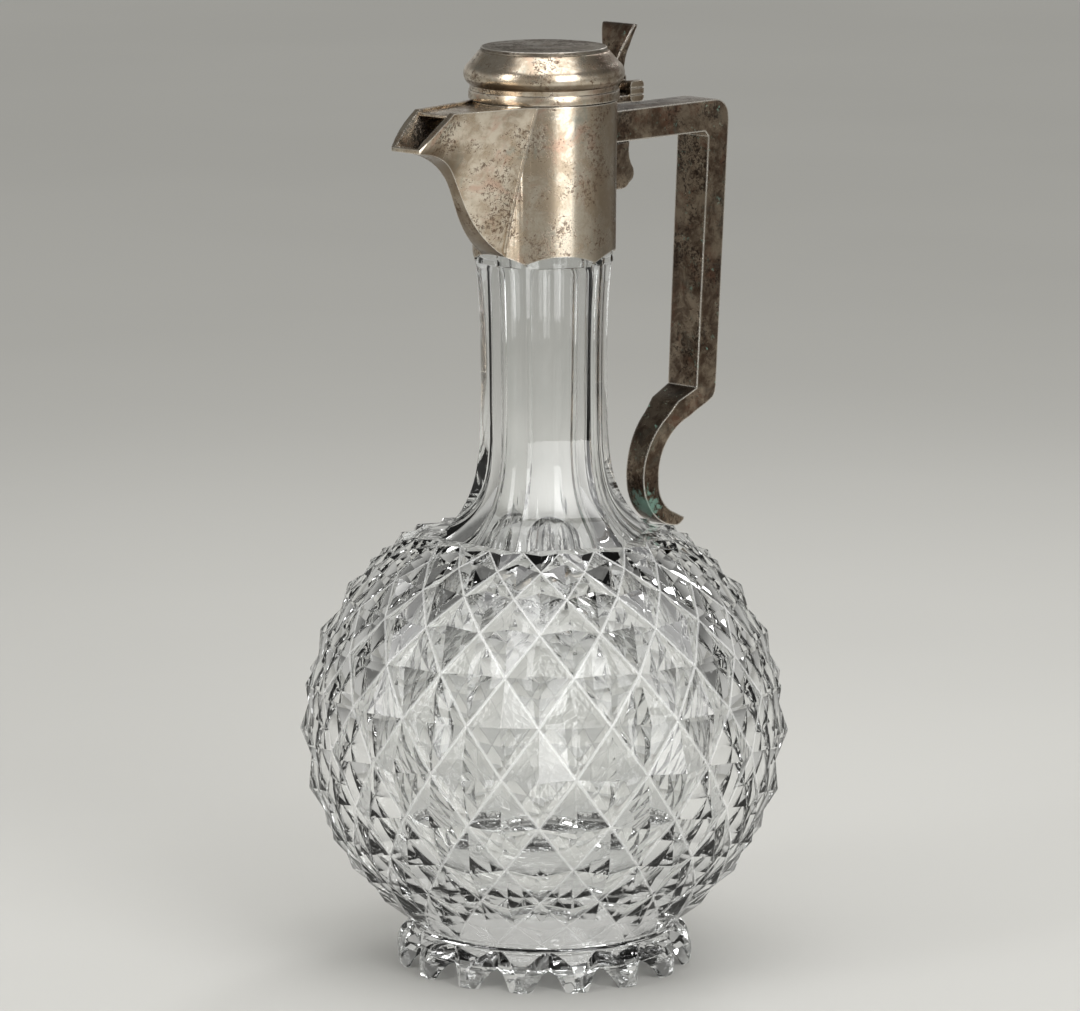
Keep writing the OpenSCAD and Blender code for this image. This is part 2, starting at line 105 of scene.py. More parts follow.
class NodeGraph:
    """A shader or geometry tree that is filled by short calls, each of which adds one node."""

    def __init__(self, tree: bpy.types.NodeTree) -> None:
        """Empties the tree and keeps it."""
        tree.nodes.clear()
        self.tree = tree

    def node(self, kind: str, inputs: dict | None = None, **settings: object) -> Node:
        """Adds a node.

        Args:
            kind: Blender's name for the node's type.
            inputs: A value or an output socket for each input, by name or number.
            **settings: The node's own options.

        Returns:
            The new node.
        """
        made = self.tree.nodes.new(kind)
        for name, value in settings.items():
            setattr(made, name, value)
        for key, value in (inputs or {}).items():
            self.feed(made.inputs[key], value)
        return made

    def feed(self, socket: Socket, value: object) -> None:
        """Links or sets one input.

        Args:
            socket: The input.
            value: A node, whose first output is meant, an output socket, a number, a vector or
                a colour of three numbers.
        """
        if isinstance(value, Node):
            value = value.outputs[0]
        if isinstance(value, Socket):
            self.tree.links.new(value, socket)
        elif socket.type == "RGBA" and len(value) == 3:
            socket.default_value = (*value, 1.0)
        else:
            socket.default_value = value

    def math(self, operation: str, a: object, b: object = 0.0) -> Node:
        """One sum on two numbers, each a value, a node or a socket."""
        return self.node("ShaderNodeMath", {0: a, 1: b}, operation=operation)

    def add(self, a: object, b: object) -> Node:
        """The sum of two numbers."""
        return self.math("ADD", a, b)

    def less(self, a: object, b: object) -> Node:
        """What is left of a without b."""
        return self.math("SUBTRACT", a, b)

    def times(self, a: object, b: object) -> Node:
        """The product of two numbers."""
        return self.math("MULTIPLY", a, b)

    def vector(self, x: object, y: object, z: object) -> Node:
        """A vector of three numbers."""
        return self.node("ShaderNodeCombineXYZ", {0: x, 1: y, 2: z})

    def axes(self, vector: object) -> list[Socket]:
        """A vector's three numbers."""
        return list(self.node("ShaderNodeSeparateXYZ", {0: vector}).outputs)

    def span(self, value: object, low: float, high: float, start: float = 0.0,
             end: float = 1.0) -> Node:
        """A smooth step from start to end as value goes from low to high.

        Args:
            value: What is read.
            low: Where the step starts.
            high: Where the step ends.
            start: What it gives at or below low.
            end: What it gives at or above high.

        Returns:
            The node that holds the result.
        """
        return self.node("ShaderNodeMapRange", {0: value, 1: low, 2: high, 3: start, 4: end},
                         interpolation_type="SMOOTHSTEP")

    def noise(self, where: object, scale: float, detail: float = 4.0, rough: float = 0.5,
              warp: float = 0.0) -> Node:
        """Noise between 0 and 1.

        Args:
            where: The coordinates.
            scale: Features to the metre.
            detail: How many finer layers are added.
            rough: How strong the finer layers are.
            warp: How far the pattern is pulled about.

        Returns:
            The node that holds the value.
        """
        return self.node("ShaderNodeTexNoise", {
            "Vector": where, "Scale": scale, "Detail": detail, "Roughness": rough,
            "Distortion": warp})

    def mixed(self, share: object, a: object, b: object) -> Socket:
        """A colour between two others.

        Args:
            share: How much of b, from 0 to 1.
            a: The first colour.
            b: The second colour.

        Returns:
            The socket that holds the colour.
        """
        return self.node("ShaderNodeMix", {0: share, 6: a, 7: b}, data_type="RGBA").outputs[2]

    def place(self, shift: float = 0.0, stretch: tuple[float, float, float] = (1, 1, 1)) -> Node:
        """Object coordinates, moved so that finishes differ and stretched for a grain.

        Args:
            shift: How far the pattern is moved, in metres.
            stretch: The scale along each axis.

        Returns:
            The node that holds the coordinates.
        """
        return self.node("ShaderNodeMapping", {
            "Vector": self.node("ShaderNodeTexCoord").outputs["Object"],
            "Location": (shift, 1.7 * shift, -0.6 * shift), "Scale": stretch})

    def arris(self, radius: float) -> Node:
        """How near a sharp edge is, from 0 on a flat to 1 on the edge.

        Args:
            radius: How far the wear reaches, in metres.

        Returns:
            The node that holds the share.
        """
        soft = self.node("ShaderNodeBevel", {"Radius": radius}, samples=6)
        true = self.node("ShaderNodeNewGeometry").outputs["Normal"]
        same = self.node("ShaderNodeVectorMath", {0: soft, 1: true}, operation="DOT_PRODUCT")
        return self.span(same.outputs["Value"], 0.999, 0.9)

    def skin(self, colour: object, rough: object, relief: object,
             depth: tuple[float, float], others: dict[str, object]) -> None:
        """Ends a material with one Principled surface over a relief.

        Args:
            colour: The base colour.
            rough: The roughness.
            relief: The relief's height, from 0 to 1.
            depth: The bump's strength, and its distance in metres.
            others: The surface's other inputs by name.
        """
        bump = self.node("ShaderNodeBump", {"Strength": depth[0], "Distance": depth[1],
                                            "Height": relief})
        made = self.node("ShaderNodeBsdfPrincipled", {
            "Base Color": colour, "Roughness": rough, "Normal": bump, **others})
        self.node("ShaderNodeOutputMaterial", {"Surface": made})


# Finishes


@dataclass(frozen=True)
class Finish:
    """A surface finish: one material, made once and put on any number of pieces."""

    label: str
    slot: Slot

    def paint(self, graph: NodeGraph) -> None:
        """Fills the material's tree. Each finish has its own way."""
        raise NotImplementedError

    def material(self) -> bpy.types.Material:
        """The finish's material, made at the first call.

        Returns:
            The material.
        """
        known = bpy.data.materials.get(self.label)
        if known is None:
            known = bpy.data.materials.new(self.label)
            known.use_nodes = True
            self.paint(NodeGraph(known.node_tree))
        return known

    def coat(self, piece: Piece) -> None:
        """Puts the finish on a piece.

        Args:
            piece: A new piece, or a CAD node that stays.
        """
        if piece.material_slots:
            for held in piece.material_slots:
                held.material = self.material()
        else:
            piece.data.materials.append(self.material())


@dataclass(frozen=True)
class SilverPlate(Finish):
    """Worn silver plate: warm metal under tarnish, with fine brown pits in clusters and a rosy
    or steely bloom, rubbed bright on its arrises. Shade is painted into the colour, and the
    surface is rougher, on faces that look down and on the handle's side. Verdigris grows where
    damp has sat."""

    clean: Colour = (0.72, 0.64, 0.525)
    tarnish: Colour = (0.43, 0.345, 0.25)
    stain: Colour = (0.095, 0.055, 0.032)
    bloom: Colour = (0.56, 0.36, 0.27)
    cool: Colour = (0.38, 0.41, 0.36)
    silver: Colour = (0.90, 0.86, 0.79)
    tarnish_share: float = 0.9
    stain_start: float = 0.565
    polish: float = 0.17
    rubbed: float = 0.75
    reach: float = 0.6
    # Painted shade: under darkens faces that look down, back darkens the side towards the
    # handle, both towards the dark colour given after them.
    under: float = 0.85
    back: float = 0.72
    painted_shade_colour: Colour = (0.15, 0.112, 0.074)
    verdigris: Colour = (0.13, 0.24, 0.19)
    shift: float = 0.0
    damp: tuple[float, float, float] | None = None

    def painted_shade_mask(self, graph: NodeGraph) -> Node:
        """Where shade is painted: faces that look down, and those beside the handle.

        Args:
            graph: The material's tree.

        Returns:
            The node that holds the share.
        """
        source = graph.node("ShaderNodeTexCoord").outputs
        below = graph.span(graph.axes(source["Normal"])[2], -0.24, -0.46, 0.0, self.under)
        flat = graph.node("ShaderNodeVectorMath", {0: source["Object"], 1: (1, 1, 0)},
                          operation="MULTIPLY")
        bearing = graph.node("ShaderNodeVectorMath", {0: flat}, operation="NORMALIZE")
        behind = graph.span(graph.axes(bearing)[0], -0.24, 0.12, 0.0, self.back)
        return graph.math("MAXIMUM", below, behind)

    def paint(self, graph: NodeGraph) -> None:
        """Layers tarnish, bloom, painted shade, pits and wear, with a hammered waver and fine
        scratches.

        Args:
            graph: The material's empty tree.
        """
        where = graph.place(self.shift)
        cloud = graph.noise(where, 210, 6, 0.7, 0.4)
        broad = graph.noise(where, 60, 6, 0.7, 0.6)
        dull = graph.span(graph.add(graph.times(broad, 0.5), graph.times(cloud, 0.5)),
                          0.42, 0.57, 0.0, self.tarnish_share)
        rosy, steely, clusters = (
            graph.span(graph.noise(graph.place(self.shift + move), *grain), *step)
            for move, grain, step in (
                (0.31, (105, 5, 0.65, 0.9), (0.54, 0.70, 0.0, 0.65)),
                (0.74, (90, 5, 0.65, 0.9), (0.54, 0.70, 0.0, 0.6)),
                (0.5, (85, 4, 0.6, 0.5), (0.42, 0.62, -0.05, 0.075))))
        spots = graph.add(graph.times(graph.noise(where, 3000, 3, 0.6), 0.45),
                          graph.times(graph.noise(where, 1050, 4, 0.65), 0.55))
        stained = graph.span(graph.add(spots, clusters), self.stain_start,
                             self.stain_start + 0.055, 0.0, 0.8)
        worn = graph.times(graph.arris(self.reach * MM), self.rubbed)
        # Painted shade, on faces that look down and on the side towards the handle.
        hidden = self.painted_shade_mask(graph)

        colour = self.clean
        for share, layer in ((dull, self.tarnish), (rosy, self.bloom), (steely, self.cool),
                             (hidden, self.painted_shade_colour), (stained, self.stain),
                             (worn, self.silver)):
            colour = graph.mixed(share, colour, layer)
        metal = 1.0
        if self.damp is not None:
            far = graph.node("ShaderNodeVectorMath", {0: graph.place(), 1: self.damp},
                             operation="DISTANCE").outputs["Value"]
            near = graph.span(far, 1.5 * MM, 8.0 * MM, 0.26, 0.0)
            crust = graph.add(near, graph.noise(graph.place(), 520, 5, 0.7, 0.3))
            crust = graph.span(crust, 0.60, 0.72, 0.0, 0.85)
            colour = graph.mixed(crust, colour, self.verdigris)
            metal = graph.less(1.0, crust)

        rough = graph.add(graph.times(dull, 0.12), graph.times(stained, 0.28))
        rough = graph.add(graph.add(rough, graph.times(hidden, 0.12)), self.polish)
        rough = graph.less(rough, graph.times(worn, 0.08))
        hair = graph.noise(graph.place(self.shift, (1400, 1400, 90)), 1.0, 3, 0.6)
        relief = graph.less(graph.times(hair, 0.2), graph.times(stained, 0.45))
        relief = graph.add(relief, graph.times(cloud, 0.45))
        graph.skin(colour, rough, relief, (0.4, 0.00007), {"Metallic": metal})


@dataclass(frozen=True)
class LeadCrystal(Finish):
    """Clear lead crystal, cut and polished, with the faint waver of hand work."""

    index: float = 1.56
    wash: Colour = (0.985, 0.99, 0.985)
    deep: Colour = (0.955, 0.965, 0.96)
    ground: float = 0.0
    milk: float = 0.0

    def paint(self, graph: NodeGraph) -> None:
        """A glass surface whose tint, polish and flatness vary a little.

        Args:
            graph: The material's empty tree.
        """
        where = graph.place(0.2)
        slow = graph.noise(where, 60, 3, 0.5, 0.3)
        quick = graph.noise(where, 420, 4, 0.55)
        colour = graph.mixed(graph.span(slow, 0.35, 0.65), self.wash, self.deep)
        rough = graph.span(quick, 0.55, 0.8, self.ground, self.ground + 0.03)
        relief = graph.add(graph.times(slow, 0.8), graph.times(quick, 0.2))
        graph.skin(colour, rough, relief, (0.12, 0.0002),
                   {"IOR": self.index, "Transmission Weight": 1.0 - self.milk})


@dataclass(frozen=True)
class Plaster(Finish):
    """Old plaster of Paris: chalky, a little yellowed and pitted."""

    fresh: Colour = (0.82, 0.79, 0.72)
    aged: Colour = (0.62, 0.56, 0.46)

    def paint(self, graph: NodeGraph) -> None:
        """Chalk mottled with age, over a grainy relief.

        Args:
            graph: The material's empty tree.
        """
        where = graph.place()
        age = graph.span(graph.noise(where, 160, 6, 0.65, 0.2), 0.4, 0.65)
        grain = graph.noise(where, 2200, 4, 0.6)
        graph.skin(graph.mixed(age, self.fresh, self.aged),
                   graph.span(grain, 0.2, 0.8, 0.75, 0.95), grain, (0.5, 0.0001), {})


@dataclass(frozen=True)
class DrawnSteel(Finish):
    """Drawn steel wire, with a grain along its length and a little rust."""

    steel: Colour = (0.50, 0.50, 0.51)
    rust: Colour = (0.24, 0.12, 0.06)

    def paint(self, graph: NodeGraph) -> None:
        """Grey steel streaked along the pin, with rust in patches.

        Args:
            graph: The material's empty tree.
        """
        streak = graph.noise(graph.place(0, (3000, 200, 3000)), 1.0, 4, 0.6)
        rusty = graph.span(graph.noise(graph.place(0.4), 700, 5, 0.6), 0.58, 0.66, 0.0, 0.8)
        graph.skin(graph.mixed(rusty, self.steel, self.rust),
                   graph.span(streak, 0.3, 0.7, 0.28, 0.45), streak, (0.3, 0.00003),
                   {"Metallic": 1.0})


CRYSTAL = LeadCrystal("lead_crystal", Slot.GLASS)
GROUND_CRYSTAL = LeadCrystal("lead_crystal_ground", Slot.GLASS, ground=0.18, milk=0.26)
BRIGHT_PLATE = SilverPlate("silver_plate_bright", Slot.BRIGHT)
# On the dark plates, under and back set less painted shade: some on faces that look down, none
# beside the handle.
DARK_PLATE = SilverPlate("silver_plate_dark", Slot.DARK, clean=(0.27, 0.215, 0.16),
                         tarnish=(0.075, 0.049, 0.033), stain=(0.022, 0.013, 0.009),
                         bloom=(0.15, 0.075, 0.048), cool=(0.115, 0.115, 0.095),
                         tarnish_share=0.96, stain_start=0.55, polish=0.22, rubbed=1.0,
                         reach=0.85, under=0.3, back=0.0, shift=0.53,
                         damp=(0.0372, -0.002, 0.1222))
PITTED_PLATE = SilverPlate("silver_plate_pitted", Slot.DARK, clean=(0.205, 0.178, 0.142),
                           tarnish=(0.13, 0.107, 0.08), stain=(0.04, 0.029, 0.02),
                           bloom=(0.17, 0.115, 0.082), cool=(0.15, 0.15, 0.125),
                           tarnish_share=0.95, stain_start=0.52, polish=0.36,
                           rubbed=1.0, under=0.3, back=0.0, shift=0.87)
PLASTER = Plaster("aged_plaster", Slot.PLASTER)
PIN_STEEL = DrawnSteel("drawn_steel", Slot.STEEL)


# Meshes


def new_piece(name: str, mesh: bpy.types.Mesh) -> Piece:
    """Puts a mesh in the scene as an object at the origin.

    Args:
        name: The piece's name.
        mesh: Its mesh, in place.

    Returns:
        The object.
    """
    piece = bpy.data.objects.new(name, mesh)
    bpy.context.scene.collection.objects.link(piece)
    return piece


def from_bmesh(name: str, shape: bmesh.types.BMesh) -> Piece:
    """Turns a bmesh into a piece with its faces outwards, and frees it.

    Args:
        name: The piece's name.
        shape: The mesh as built.

    Returns:
        The object.
    """
    bmesh.ops.recalc_face_normals(shape, faces=shape.faces)
    mesh = bpy.data.meshes.new(name)
    shape.to_mesh(mesh)
    shape.free()
    return new_piece(name, mesh)


def bridge(shape: bmesh.types.BMesh, rings: list[list[bmesh.types.BMVert]]) -> None:
    """Joins each ring of vertices to the next. A ring of one vertex is a point.

    Args:
        shape: The mesh that gains the faces.
        rings: The rings, in order.
    """
    for low, up in zip(rings, rings[1:]):
        for k in range(max(len(low), len(up))):
            corners = [ring[i % len(ring)] for ring, i in (
                (low, k), (low, k + 1), (up, k + 1), (up, k))]
            face = list(dict.fromkeys(corners))
            if len(face) > 2:
                shape.faces.new(face)


def lathe(name: str, outline: Outline, around: int = 128, ring: bool = False) -> Piece:
    """Turns an outline about the jug's axis.

    Args:
        name: The piece's name.
        outline: Points of radius and height in millimetres, from axis to axis unless ring.
        around: How many steps make a full turn.
        ring: True if the outline closes on itself and never meets the axis.

    Returns:
        The closed mesh as an object.
    """
    shape = bmesh.new()
    turns = [math.tau * k / around for k in range(around)]
    rings = []
    for radius, height in outline:
        spots = [(radius * MM * math.cos(a), radius * MM * math.sin(a)) for a in turns]
        rings.append([shape.verts.new((x, y, height * MM))
                      for x, y in (spots if radius else [(0, 0)])])
    bridge(shape, rings + rings[:1] if ring else rings)
    return from_bmesh(name, shape)


def drum(name: str, low: tuple[float, float], high: tuple[float, float],
         around: int = 128) -> Piece:
    """A round bar on the jug's axis, from the radius and height of its two ends."""
    return lathe(name, [(0, low[1]), low, high, (0, high[1])], around)


def loft(name: str, rings: list[list[Vector]]) -> Piece:
    """Joins rings of equal length into a closed solid with flat ends.

    Args:
        name: The piece's name.
        rings: The rings' points in millimetres, in order.

    Returns:
        The closed mesh as an object.
    """
    shape = bmesh.new()
    made = [[shape.verts.new(p * MM) for p in ring] for ring in rings]
    bridge(shape, made)
    shape.faces.new(reversed(made[0]))
    shape.faces.new(made[-1])
    return from_bmesh(name, shape)


def settled(piece: Piece) -> Piece:
    """Bakes a piece's modifiers into its mesh and clears them.

    Args:
        piece: The object, with its modifiers set.

    Returns:
        The same object, with a plain mesh.
    """
    graph = bpy.context.evaluated_depsgraph_get()
    mesh = bpy.data.meshes.new_from_object(piece.evaluated_get(graph))
    old = piece.data
    piece.modifiers.clear()
    piece.data = mesh
    mesh.name = piece.name
    if old.users == 0:
        bpy.data.meshes.remove(old)
    return piece


def combine(piece: Piece, tool: Piece, way: Cut) -> None:
    """Adds, takes or keeps one closed mesh with another, and removes the other.

    Args:
        piece: The object that changes.
        tool: The object that is used up.
        way: What is done.
    """
    step = piece.modifiers.new("cut", "BOOLEAN")
    step.operation = way.value
    step.solver = "MANIFOLD"
    step.material_mode = "TRANSFER"
    step.object = tool
    settled(piece)
    bpy.data.objects.remove(tool)


def soften(piece: Piece, width: float, steps: int, angle: float,
           smooth: float | None = None) -> None:
    """Rounds a piece's arrises, and shades it smooth if that is asked for.

    Args:
        piece: The object that changes.
        width: The rounding's width in millimetres.
        steps: How many facets it has.
        angle: The least angle between faces that makes an arris, in degrees.
        smooth: The angle, in degrees, up to which edges are shaded smooth.
    """
    step = piece.modifiers.new("arris", "BEVEL")
    step.width = width * MM
    step.segments = steps
    step.limit_method = "ANGLE"
    step.angle_limit = math.radians(angle)
    step.miter_outer = "MITER_ARC"
    settled(piece)
    if smooth is not None:
        piece.data.polygons.foreach_set("use_smooth", [True] * len(piece.data.polygons))
        piece.data.set_sharp_from_angle(angle=math.radians(smooth))


def grow(name: str, tree: bpy.types.NodeTree, values: dict[str, object]) -> Piece:
    """Runs a geometry tree and keeps its result as a plain mesh.

    Args:
        name: The piece's name.
        tree: The tree, with a named input for each value.
        values: The inputs' values by name.

    Returns:
        The mesh as an object, with no modifier left.
    """
    piece = new_piece(name, bpy.data.meshes.new(name + "_start"))
    step = piece.modifiers.new("rule", "NODES")
    step.node_group = tree
    for item in tree.interface.items_tree:
        if item.item_type == "SOCKET" and item.in_out == "INPUT" and item.name in values:
            step[item.identifier] = values[item.name]
    return settled(piece)


def rule_tree(name: str, sizes: dict[str, tuple[str, ...]]) -> tuple[NodeGraph, Node]:
    """Starts a geometry tree with named inputs.

    Args:
        name: The tree's name.
        sizes: The inputs' names, by the kind of their sockets.

    Returns:
        The tree's graph and its group input node.
    """
    tree = bpy.data.node_groups.new(name, "GeometryNodeTree")
    graph = NodeGraph(tree)
    for kind, labels in sizes.items():
        for label in labels:
            tree.interface.new_socket(label, in_out="INPUT", socket_type="NodeSocket" + kind)
    tree.interface.new_socket("Mesh", in_out="OUTPUT", socket_type="NodeSocketGeometry")
    return graph, graph.node("NodeGroupInput")


def ring_tree() -> bpy.types.NodeTree:
    """The rule of what stands round the axis: one prism, sized and tilted, then repeated.

    Returns:
        The geometry tree.
    """
    g, given = rule_tree("ring_of_cuts", {
        "Int": ("Count", "Sides"), "Float": ("Turn",), "Vector": ("Size", "Tilt", "Place"),
        "Material": ("Material",)})
    get = given.outputs
    block = g.node("GeometryNodeMeshCylinder", {
        "Vertices": get["Sides"], "Radius": 1.0, "Depth": 1.0}, fill_type="NGON")
    sized = g.node("GeometryNodeTransform", {0: block, "Scale": get["Size"]})
    cutter = g.node("GeometryNodeTransform", {
        0: sized, "Rotation": get["Tilt"], "Translation": get["Place"]})
    points = g.node("GeometryNodePoints", {"Count": get["Count"]})
    share = g.math("DIVIDE", math.tau, get["Count"])
    angle = g.add(get["Turn"], g.times(g.node("GeometryNodeInputIndex"), share))
    laid = g.node("GeometryNodeInstanceOnPoints", {0: points, "Instance": cutter})
    turned = g.node("GeometryNodeRotateInstances", {
        0: laid, "Rotation": g.vector(0.0, 0.0, angle)})
    real = g.node("GeometryNodeRealizeInstances", {0: turned})
    dressed = g.node("GeometryNodeSetMaterial", {0: real, "Material": get["Material"]})
    g.node("NodeGroupOutput", {0: dressed})
    return g.tree


# The glass


@dataclass
class GlassVessel:
    """Foot, cut bulb, six-panelled neck and mouth, one solid of glass round one hollow."""

    bulb_z: float = 66.5
    bulb_r: float = 67.26
    bulb_h: float = 64.7
    diamonds: int = 20
    cut_depth: float = 3.3
    cut_turn: float = -1.2
    row_middle: float = -0.027
    row_step: float = 0.228
    row_low: int = -6
    row_high: int = 7
    strip: float = 0.052
    strip_rise: float = 0.02
    tip: float = 0.02
    seat_z: float = 10.6
    cap_z: float = 120.0
    neck_r: float = 18.0
    neck_foot: tuple[float, float] = (30.5, 119.9)
    waist_z: float = 165.0
    panel_top_z: float = 195.8
    arris: float = 0.35
    ring: tuple[float, float] = (18.9, 199.5)
    mouth: tuple[float, float] = (17.4, 214.0)
    bead: tuple[float, float] = (35.4, 0.9)
    egg: tuple[float, float, float] = (58.5, 55.5, 62.0)
    bore: tuple[tuple[float, float], ...] = ((17.5, 120.5), (11.8, 126), (11.6, 146))
    mouth_bore: float = 12.4
    petals: int = 16
    petal_turn: float = 13.3
    notch_r: float = 35.8
    notch_spread: float = 55.0
    foot_outline: Outline = field(default_factory=lambda: [
        (0, 5.6), (35.4, 5.6), (36.9, 4.5), (38.2, 2.4), (39.2, 0), (40.1, 0), (40.5, 0.35),
        (40.8, 1.0), (41.05, 1.8), (41.15, 2.6), (41.2, 4.2), (41.05, 5.2), (40.7, 6.2),
        (40.2, 7.3), (39.6, 8.2), (38.8, 9.05), (37.8, 9.8), (36.8, 10.3), (35.6, 10.6),
        (35.5, 11.1), (0, 11.1)])

    def lattice_tree(self) -> bpy.types.NodeTree:
        """The rule of the cutting: one diamond, repeated over a flat lattice, then wrapped on
        the bulb so that every diamond keeps its proportions.

        Returns:
            The geometry tree.
        """
        g, given = rule_tree("diamond_cutting", {
            "Int": ("Diamonds", "Low Row", "Rows"),
            "Float": ("Radius", "Half Height", "Centre", "Depth", "Turn", "Row Middle",
                      "Row Step", "Strip", "Strip Rise", "Tip"),
            "Material": ("Material", "Strip Material")})
        get = given.outputs
        # One diamond: corners at the groove crossings, a flat strip, and a facet to the point
        base = g.node("GeometryNodeMeshCircle", {"Vertices": 4, "Radius": 1.0},
                      fill_type="NGON")
        edge = g.node("GeometryNodeExtrudeMesh", {
            0: base, "Offset": g.vector(0.0, 0.0, get["Strip Rise"]), "Offset Scale": 1.0},
            mode="FACES")
        marked = g.node("GeometryNodeStoreNamedAttribute", {
            0: edge, "Name": "strip", "Value": edge.outputs["Side"]},
            data_type="BOOLEAN", domain="FACE")
        floor = g.node("GeometryNodeScaleElements", {
            0: marked, "Selection": edge.outputs["Top"],
            "Scale": g.less(1.0, get["Strip"])}, domain="FACE")
        peak = g.node("GeometryNodeExtrudeMesh", {
            0: floor, "Selection": edge.outputs["Top"], "Offset Scale": 1.0,
            "Offset": g.vector(0.0, 0.0, g.less(1.0, get["Strip Rise"]))}, mode="FACES")
        diamond = g.node("GeometryNodeScaleElements", {
            0: peak, "Selection": peak.outputs["Top"], "Scale": get["Tip"]}, domain="FACE")
        # The flat lattice: columns along X, rows along Y, every other row moved by one
        index = g.node("GeometryNodeInputIndex")
        row = g.math("FLOOR", g.math("DIVIDE", index, get["Diamonds"]))
        odd = g.math("MODULO", g.add(row, 1.0), 2.0)
        column = g.times(g.math("MODULO", index, get["Diamonds"]), 2.0)
        points = g.node("GeometryNodePoints", {
            "Count": g.times(get["Diamonds"], get["Rows"]),
            "Position": g.vector(g.add(column, odd), g.add(row, get["Low Row"]), 0.0)})
        laid = g.node("GeometryNodeInstanceOnPoints", {0: points, "Instance": diamond})
        flat = g.node("GeometryNodeRealizeInstances", {0: laid})
        # Wrapped on the bulb, with cuts that grow shallow towards the foot
        x, y, z = g.axes(g.node("GeometryNodeInputPosition"))
        bearing = g.add(g.times(x, g.math("DIVIDE", math.pi, get["Diamonds"])), get["Turn"])
        climb = g.math("EXPONENT", g.add(g.times(y, get["Row Step"]), get["Row Middle"]))
        lat = g.less(g.times(g.math("ARCTANGENT", climb), 2.0), math.pi / 2)
        up = g.add(y, 4.0)
        fade = g.math("MINIMUM", g.add(g.times(up, 0.2), 0.4), g.add(g.times(up, 0.4), 0.4))
        fade = g.math("MINIMUM", g.math("MAXIMUM", fade, 0.0), 1.0)
        sunk = g.times(g.times(fade, get["Depth"]), g.less(1.0, z))
        reach = g.times(g.less(get["Radius"], sunk), g.math("COSINE", lat))
        rise = g.times(g.less(get["Half Height"], sunk), g.math("SINE", lat))
        place = g.vector(g.times(reach, g.math("COSINE", bearing)),
                         g.times(reach, g.math("SINE", bearing)),
                         g.add(rise, get["Centre"]))
        wrapped = g.node("GeometryNodeSetPosition", {0: flat, "Position": place})
        welded = g.node("GeometryNodeMergeByDistance", {0: wrapped, "Distance": 0.02 * MM})
        real = g.node("GeometryNodeRealizeInstances", {0: welded})
        dressed = g.node("GeometryNodeSetMaterial", {0: real, "Material": get["Material"]})
        strip = g.node("GeometryNodeInputNamedAttribute", {"Name": "strip"},
                       data_type="BOOLEAN")
        ground = g.node("GeometryNodeSetMaterial", {
            0: dressed, "Selection": strip, "Material": get["Strip Material"]})
        g.node("NodeGroupOutput", {0: ground})
        return g.tree

    def cut_bulb(self) -> Piece:
        """The bulb with its diamonds, closed at the shoulder and at the foot.

        Returns:
            The closed mesh as an object.
        """
        bulb = grow("cut_bulb", self.lattice_tree(), {
            "Diamonds": self.diamonds, "Low Row": self.row_low,
            "Rows": self.row_high - self.row_low + 1, "Radius": self.bulb_r * MM,
            "Half Height": self.bulb_h * MM, "Centre": self.bulb_z * MM,
            "Depth": self.cut_depth * MM, "Turn": math.radians(self.cut_turn),
            "Row Middle": self.row_middle, "Row Step": self.row_step,
            "Strip": self.strip, "Strip Rise": self.strip_rise, "Tip": self.tip,
            "Material": CRYSTAL.material(), "Strip Material": GROUND_CRYSTAL.material()})
        bulb.data.attributes.remove(bulb.data.attributes["strip"])
        shape = bmesh.new()
        shape.from_mesh(bulb.data)
        rims = [e for e in shape.edges if len(e.link_faces) == 1]
        for upper in (False, True):
            edges = [e for e in rims if (e.verts[0].co.z > self.bulb_z * MM) == upper]
            height = sum(e.verts[0].co.z for e in edges) / len(edges)
            middle = shape.verts.new((0, 0, height))
            for e in edges:
                shape.faces.new((*e.verts, middle))
        bmesh.ops.recalc_face_normals(shape, faces=shape.faces)
        shape.to_mesh(bulb.data)
        shape.free()
        band = drum("bulb_band", (80, self.seat_z), (80, self.cap_z), 24)
        band.data.materials.append(CRYSTAL.material())
        combine(bulb, band, Cut.KEEP)
        return bulb

    def corner_radius(self, z: float) -> float:
        """The neck's radius over its arrises.

        Args:
            z: A height in millimetres.

        Returns:
            The radius there, in millimetres.
        """
        if z > self.waist_z:
            return self.neck_r + 1.4 * ((z - self.waist_z)
                                        / (self.panel_top_z - self.waist_z)) ** 2.6
        t = (self.waist_z - z) / (self.waist_z - self.neck_foot[1])
        return self.neck_r + 1.2 * t * t + (self.neck_foot[0] - self.neck_r - 1.2) * t ** 5

    def panel_ring(self, z: float, radius: float) -> list[Vector]:
        """One six-sided ring with its corners polished round.

        Args:
            z: The ring's height.
            radius: Its radius over the corners.

        Returns:
            The ring's points.
        """
        bend = self.arris / math.tan(math.radians(30))
        points = []
        for k in range(6):
            a = math.radians(30 + 60 * k)
            centre = (radius - bend / math.cos(math.radians(30)))
            for step in (-30, -10, 10, 30):
                b = a + math.radians(step)
                points.append(Vector((centre * math.cos(a) + bend * math.cos(b),
                                      centre * math.sin(a) + bend * math.sin(b), z)))
        return points

    def neck(self) -> Piece:
        """The neck's six panels, from the shoulder to the uncut ring.

        Returns:
            The closed mesh as an object.
        """
        foot_r, foot_z = self.neck_foot
        heights = [foot_z + (self.waist_z - foot_z) * (k / 44) ** 1.8 for k in range(45)]
        heights += [self.waist_z + (self.panel_top_z - self.waist_z) * k / 14
                    for k in range(1, 15)]
        rings = [self.panel_ring(foot_z - 1.5, foot_r - 1.5)]
        rings += [self.panel_ring(z, self.corner_radius(z)) for z in heights]
        return loft("neck_panels", rings)

